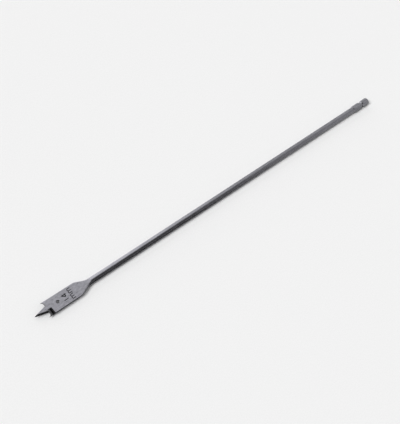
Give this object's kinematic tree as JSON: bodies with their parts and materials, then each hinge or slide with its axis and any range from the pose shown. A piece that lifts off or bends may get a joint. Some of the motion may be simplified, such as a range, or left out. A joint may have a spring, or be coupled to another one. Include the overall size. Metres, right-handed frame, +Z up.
{
  "type": "spade drill bit",
  "caption": "Long spade drill bit for wood, one forged steel piece: flat blade with a centre point, outer spurs and a hole, slim round shaft, hexagonal shank with a snap groove.",
  "frame": {"origin": "bottom centre of the bounding box: on the surface that the bit rests on, under the middle of its length", "axes": "+X along the bit's own axis from the tip to the shank, +Y across the blade, +Z up and square to the blade's faces"},
  "size_m": [0.4, 0.014, 0.0063],
  "materials": {
    "steel": "satin grey, finely blasted on the blade and shaft, bright where it is ground"
  },
  "bodies": {
    "root": {"spade_bit": "steel"}
  },
  "joints": []
}
